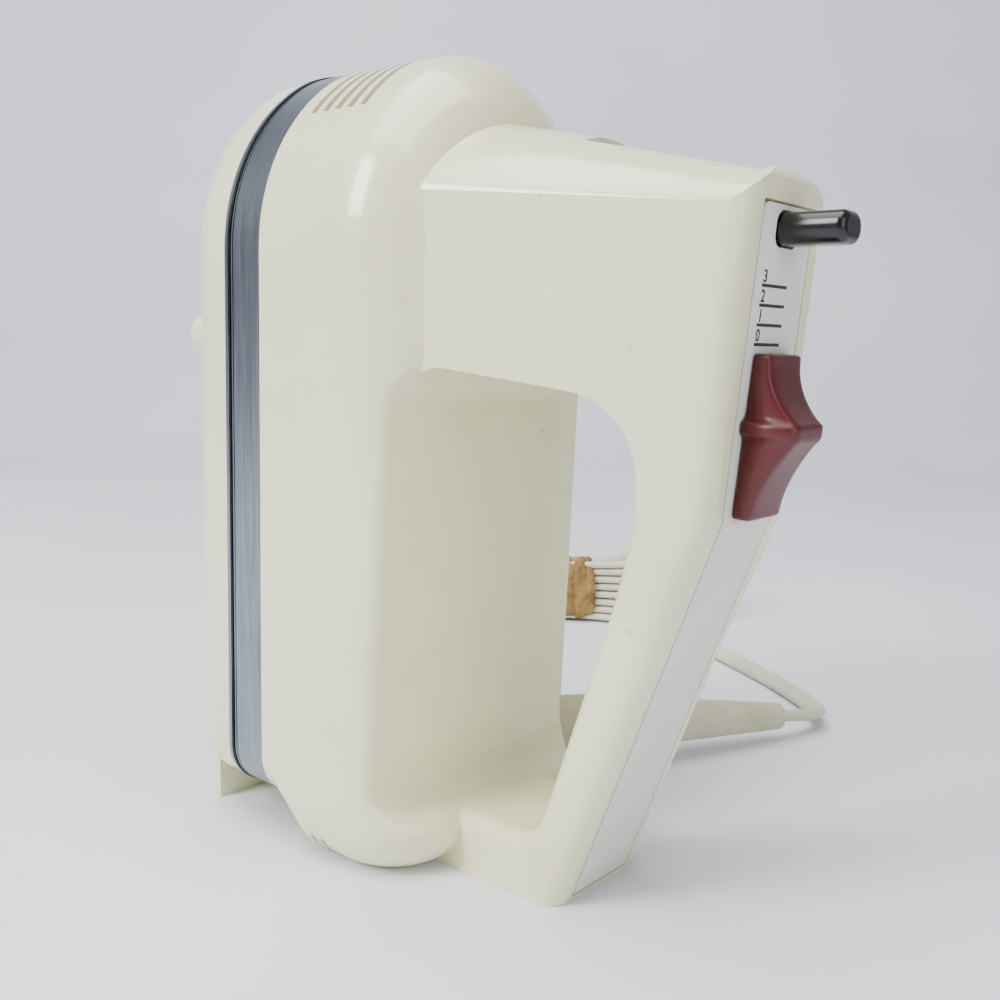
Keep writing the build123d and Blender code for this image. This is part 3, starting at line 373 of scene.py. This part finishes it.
def fromHank(points):
    # hank's own axes to the row frame: turned about Z and moved to its middle
    points = np.asarray(points, float)
    a = np.radians(hank["angle"])
    x = hank["middle"][0] + points[:, 0] * np.cos(a) - points[:, 1] * np.sin(a)
    y = hank["middle"][1] + points[:, 0] * np.sin(a) + points[:, 1] * np.cos(a)
    return np.stack([x, y, points[:, 2]], -1)


def hankPoints():
    # one loop of points repeated, each turn higher by the pitch, its ends a little shorter by a
    # sine of the turn; the far end also fans out in height
    turn = np.repeat(np.arange(hank["turns"]), len(loop))
    step = np.tile(np.arange(len(loop)), hank["turns"]) / len(loop)
    flat = np.tile(loop, (hank["turns"], 1))
    stretch = 1 - hank["uneven"] * (1 + np.sin(turn * 2.4 + (flat[:, 0] > 0) * 1.3))
    height = hank["low"] + hank["pitch"] * (turn + step)
    fromTie = np.clip((np.abs(flat[:, 0]) - 12) / 45, 0, 1)
    fan = fromTie * hank["fan"] * np.sin(turn * 1.9 + np.sign(flat[:, 0]))
    spread = np.clip((flat[:, 0] - 9) / 46, 0, 1) * (height - 4) * hank["spread"]
    return np.stack([flat[:, 0] * stretch, flat[:, 1], height + fan + spread], -1)


route = np.vstack([lead["free"], fromHank(hankPoints()), fromHank(tail)]) * mm


def splinePoints(points, resolution):
    # read a smooth line from a NURBS curve that has no bevel
    curve = bpy.data.curves.new("routeLine", "CURVE")
    curve.dimensions = "3D"
    curve.resolution_u = resolution
    spline = curve.splines.new("NURBS")
    spline.points.add(len(points) - 1)
    spline.points.foreach_set("co", np.hstack([points, np.ones((len(points), 1))]).ravel())
    spline.order_u = 3
    spline.use_endpoint_u = True
    holder = bpy.data.objects.new("routeLine", curve)
    bpy.context.collection.objects.link(holder)
    line = bpy.data.meshes.new_from_object(holder)
    co = np.empty(len(line.vertices) * 3)
    line.vertices.foreach_get("co", co)
    bpy.data.objects.remove(holder)
    bpy.data.meshes.remove(line)
    return co.reshape(-1, 3)


cordLine = splinePoints(route, 7)


def flatLead(path):
    # two-core profile, an oval with a shallow waist, carried along the path with its width level,
    # apart from a lean that fades out after the fold
    along = np.gradient(path, axis=0)
    along /= np.linalg.norm(along, axis=1)[:, None]
    side = np.cross(along, [0.0, 0.0, 1.0])
    side /= np.linalg.norm(side, axis=1)[:, None]
    top = np.cross(side, along)
    steps = np.linalg.norm(np.diff(path, axis=0), axis=1)
    walked = np.concatenate([[0], np.cumsum(steps)]) / mm
    fade = np.clip((lead["leanUntil"] - walked) / lead["leanFade"], 0, 1)
    lean = np.radians(lead["lean"]) * fade[:, None]
    cos, sin = np.cos(lean), np.sin(lean)
    side, top = side * cos + top * sin, top * cos - side * sin
    count = lead["points"]
    a = np.linspace(0, 2 * np.pi, count, endpoint=False)
    wide = lead["width"] / 2 * signedPower(np.cos(a), lead["sidePower"])
    thick = lead["thickness"] / 2 * signedPower(np.sin(a), lead["facePower"])
    thick = thick * (1 - lead["waist"] * np.exp(-(wide / lead["waistWide"]) ** 2))
    section = wide[None, :, None] * side[:, None] + thick[None, :, None] * top[:, None]
    rings = path[:, None] + mm * section
    verts = rings.reshape(-1, 3)
    faces = gridFaces(len(path), count, wrapColumns=True).tolist()
    faces.append(list(range(count)))
    faces.append([(len(path) - 1) * count + k for k in range(count)][::-1])
    return verts, faces


verts, faces = flatLead(cordLine)
cordPiece = meshPiece("flat_lead", verts, faces, cordVinyl)
faceOutward(cordPiece)

# tie: a rubber band wound several times, its wraps showing as ridges across the tie's width
tie = {"reach": 18.0, "wide": 12.0, "high": 15.0, "middle": 15.0, "wraps": 3, "power": 0.72,
       "round": 160, "across": 72}


def tieBand():
    # grid of angle round the bundle and distance across the tie; radius swells over each wrap
    t = np.linspace(0, 2 * np.pi, tie["round"], endpoint=False)[:, None]
    s = np.linspace(-1, 1, tie["across"])[None, :]
    ridge = np.abs(np.sin((s + 0.06 * np.sin(t)) * tie["wraps"] * np.pi / 2)) ** 0.6
    swell = 0.9 + 0.8 * ridge + 0.5 * np.sin(3 * t + 5 * s) * (1 - s ** 2) - 1.3 * np.abs(s) ** 8
    cy, cz = signedPower(np.cos(t), tie["power"]), signedPower(np.sin(t), tie["power"])
    length = s * tie["reach"] / 2 + 0.9 * np.sin(t * 2 + 1) * s ** 3
    outer = np.stack([length, (tie["wide"] - 3 + swell) * cy,
                      tie["middle"] + (tie["high"] - 2.2 + swell) * cz], -1)
    inner = np.stack([length[:, ::-1], (tie["wide"] - 4.4) * cy + 0 * s,
                      tie["middle"] + (tie["high"] - 3.6) * cz + 0 * s], -1)
    return np.concatenate([outer, inner], 1)


ring = tieBand()
tiePiece = meshPiece("hank_tie", fromHank(ring.reshape(-1, 3)) * mm,
                     gridFaces(ring.shape[0], ring.shape[1], wrapRows=True, wrapColumns=True), tieTan)
faceOutward(tiePiece)
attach(tiePiece, "housing")
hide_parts("cord_tie")
print("tie made")

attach(cordPiece, "housing")
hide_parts("power_cord", "cord_hank", "cord_tail")

# ---------- speed knob ----------
knob = {"half": 16.7, "low": 110.3, "tilt": 4.88, "base": 7.6, "top": 6.1, "ridge": 2.0,
        "peak": 10.8, "end": 3.8, "lift": 0.4, "bar": 1.6, "barWide": 1.7, "barHigh": 0.25,
        "round": 0.9, "drawIn": 0.16, "square": 0.22, "endMiddle": 1.5}
stripFace = {"x": (93.3, 98.8), "z": (92.6, 157)}


def knobPoint(along, side, out):
    # knob's own axes (up the strip, across, out from it) to the row frame
    a = np.radians(knob["tilt"])
    (x1, x2), (z1, z2) = stripFace["x"], stripFace["z"]
    x0 = x1 + (knob["low"] - z1) * (x2 - x1) / (z2 - z1)
    return np.stack([x0 + along * np.sin(a) + out * np.cos(a), side,
                     knob["low"] + along * np.cos(a) - out * np.sin(a)], -1)


def knobShape():
    # height along the knob: a curved scoop above the ridge and a longer one below; each section is a
    # rounded trapezium, wider where the crossbar wraps the flanks, drawn in at both ends
    v = np.concatenate([[-1], -np.cos(np.linspace(0, np.pi, 110)), [1]])
    v = v * knob["half"]
    ridge = knob["ridge"]
    gap = np.abs(v - ridge)
    upper = np.clip((v - ridge - knob["bar"]) / (knob["half"] - ridge - knob["bar"]), 0, 1)
    lower = np.clip((ridge - knob["bar"] - v) / (knob["half"] + ridge - knob["bar"]), 0, 1)
    rise = knob["peak"] - knob["end"]
    fall = np.where(v > ridge, 1 - (1 - upper) ** 2.3, 1 - (1 - lower) ** 1.75)
    height = knob["peak"] - rise * fall
    bar = 1 / (1 + (gap / knob["bar"]) ** 6)
    height = height + knob["barHigh"] * bar
    pull = np.clip((knob["half"] - np.abs(v)) / knob["round"], 0, 1)
    pull = 1 - (1 - np.sqrt(1 - (1 - pull) ** 2)) * knob["drawIn"]
    a = np.linspace(0, np.pi, 41)
    cs = signedPower(np.cos(a), knob["square"])
    sn = np.abs(np.sin(a)) ** knob["square"]
    h = height[:, None] * pull[:, None]
    out = knob["lift"] + (h - knob["lift"]) * sn[None, :]
    taper = knob["base"] + (knob["top"] - knob["base"]) * out / knob["peak"]
    width = taper + knob["barWide"] * bar[:, None] * (1 - 0.55 * out / knob["peak"])
    side = width * pull[:, None] * cs[None, :]
    # one more ring at each end, all its points in the middle of the end face, closes the surface
    extra = ((1, 1), (0, 0))
    out = np.pad(out, extra, constant_values=knob["endMiddle"])
    return knobPoint(np.pad(v, 1, mode="edge")[:, None], np.pad(side, extra), out)


shape = knobShape()
knobPiece = meshPiece("speed_slider_cap", shape.reshape(-1, 3) * mm,
                      gridFaces(shape.shape[0], shape.shape[1], wrapColumns=True), redAbs)
faceOutward(knobPiece, weld=1e-6)
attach(knobPiece, "speed_slider")
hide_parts("speed_knob")
print("knob made")

# ---------- scale on the strip: four ruled lines with numbers ----------
scale = {"heights": (128.6, 132.4, 136.2, 140.0), "left": -7.6, "right": 3.0, "line": 0.65,
         "letter": 3.375, "bold": 0.06, "inset": 0.2, "above": 0.65, "proud": 0.03, "sunk": -0.02}


def onStrip(side, height, out):
    # across the strip, height above the table and distance out from its face, to the row frame
    a = np.radians(knob["tilt"])
    x = stripFace["x"][0] + (height - stripFace["z"][0]) * np.tan(a)
    return np.stack([x + out * np.cos(a), side, height - out * np.sin(a)], -1)


def scaleMark(number, height):
    # a raised figure with a thin bar under it
    curve = bpy.data.curves.new("figure", "FONT")
    curve.body = str(number)
    curve.size = scale["letter"]
    curve.offset = scale["bold"]
    curve.extrude = scale["proud"]
    holder = bpy.data.objects.new("figure", curve)
    bpy.context.collection.objects.link(holder)
    mesh = bpy.data.meshes.new_from_object(holder)
    co = np.empty(len(mesh.vertices) * 3)
    mesh.vertices.foreach_get("co", co)
    co = co.reshape(-1, 3)
    figure = onStrip(co[:, 0] + scale["left"] + scale["inset"],
                     co[:, 1] + height + scale["above"], co[:, 2] + scale["proud"])
    faces = [list(p.vertices) for p in mesh.polygons]
    bpy.data.objects.remove(holder)
    half = scale["line"] / 2
    s, h, o = np.meshgrid([scale["left"], scale["right"]], [height - half, height + half],
                          [scale["sunk"], scale["proud"]], indexing="ij")
    bar = onStrip(s.ravel(), h.ravel(), o.ravel())
    quads = [[0, 1, 3, 2], [4, 6, 7, 5], [0, 4, 5, 1], [2, 3, 7, 6], [0, 2, 6, 4], [1, 5, 7, 3]]
    first = len(figure)
    return np.vstack([figure, bar]), faces + [[k + first for k in q] for q in quads]


allVerts, allFaces = [], []
for number, height in enumerate(scale["heights"]):
    verts, faces = scaleMark(number, height)
    start = sum(len(x) for x in allVerts)
    allVerts.append(verts)
    allFaces += [[k + start for k in face] for face in faces]
scalePiece = meshPiece("printed_scale", np.vstack(allVerts) * mm, allFaces, scaleInk, smooth=False)
faceOutward(scalePiece, weld=1e-7)
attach(scalePiece, "housing")
print("scale printed")

# ---------- floor and light ----------
sweep = {"back": 0.75, "radius": 0.35, "side": 2.5, "front": 1.4, "tall": 2.2}


def paleSweep():
    # floor that runs away from the camera and curves up into a wall, worked out across and along it
    a = np.radians(view["turn"])
    away = np.array([-np.sin(a), np.cos(a), 0.0])
    level = np.array([np.cos(a), np.sin(a), 0.0])
    bend = np.linspace(0, np.pi / 2, 24)
    back, radius = sweep["back"], sweep["radius"]
    far = np.concatenate([[-sweep["front"]], back + radius * np.sin(bend), [back + radius]])
    high = np.concatenate([[0], radius * (1 - np.cos(bend)), [sweep["tall"]]])
    s = np.array([-sweep["side"], sweep["side"]])
    upward = np.array([0, 0, 1.0])
    return far[:, None, None] * away + s[None, :, None] * level + high[:, None, None] * upward


grid = paleSweep()
floorMaterial, floorTree, floorShader, floorPlace = newMaterial("paleCotton")
weave = noise(floorTree, floorPlace, 900.0)
floorShade = noise(floorTree, floorPlace, 5.0, 3.0)
tone = ramped(floorTree, floorShade.outputs["Fac"], [(0.3, "#DDE0E6"), (0.7, "#E9EBEF")])
floorTree.links.new(tone.outputs["Color"], floorShader.inputs["Base Color"])
floorTree.links.new(bumped(floorTree, weave.outputs["Fac"], 0.15, 0.0002), floorShader.inputs["Normal"])
floorShader.inputs["Roughness"].default_value = 0.85
floor = meshPiece("floor_sweep", grid.reshape(-1, 3), gridFaces(grid.shape[0], 2), floorMaterial)


def softLight(name, place, aim, size, power, colour):
    # rectangular area light, turned so that its back points away from the aim
    data = bpy.data.lights.new(name, "AREA")
    data.shape = "RECTANGLE"
    data.size, data.size_y = size
    data.energy = power
    data.color = toLinear(colour)[:3]
    lamp = bpy.data.objects.new(name, data)
    bpy.context.collection.objects.link(lamp)
    back = np.array(place, float) - np.array(aim, float)
    back /= np.linalg.norm(back)
    side = np.cross([0, 0, 1.0], back)
    side /= np.linalg.norm(side)
    turn = np.eye(4)
    turn[:3, 0], turn[:3, 1], turn[:3, 2], turn[:3, 3] = side, np.cross(back, side), back, place
    lamp.matrix_world = Matrix(turn.tolist())


softLight("windowLeft", (-0.35, -0.95, 0.75), (0.0, 0.0, 0.1), (0.4, 0.55), 17, "#F6F9FF")
softLight("overhead", (0.0, -0.25, 1.3), (0.0, 0.0, 0.0), (1.1, 1.1), 22, "#FFFFFF")
softLight("fillRight", (1.0, -0.3, 0.45), (0.0, 0.0, 0.1), (0.7, 0.7), 4, "#F6F4FF")
world = bpy.data.worlds.new("studio")
bpy.context.scene.world = world
world.use_nodes = True
sky = world.node_tree.nodes["Background"]
sky.inputs["Color"].default_value = toLinear("#E9ECF4")
sky.inputs["Strength"].default_value = 0.42
print("stage and light set")
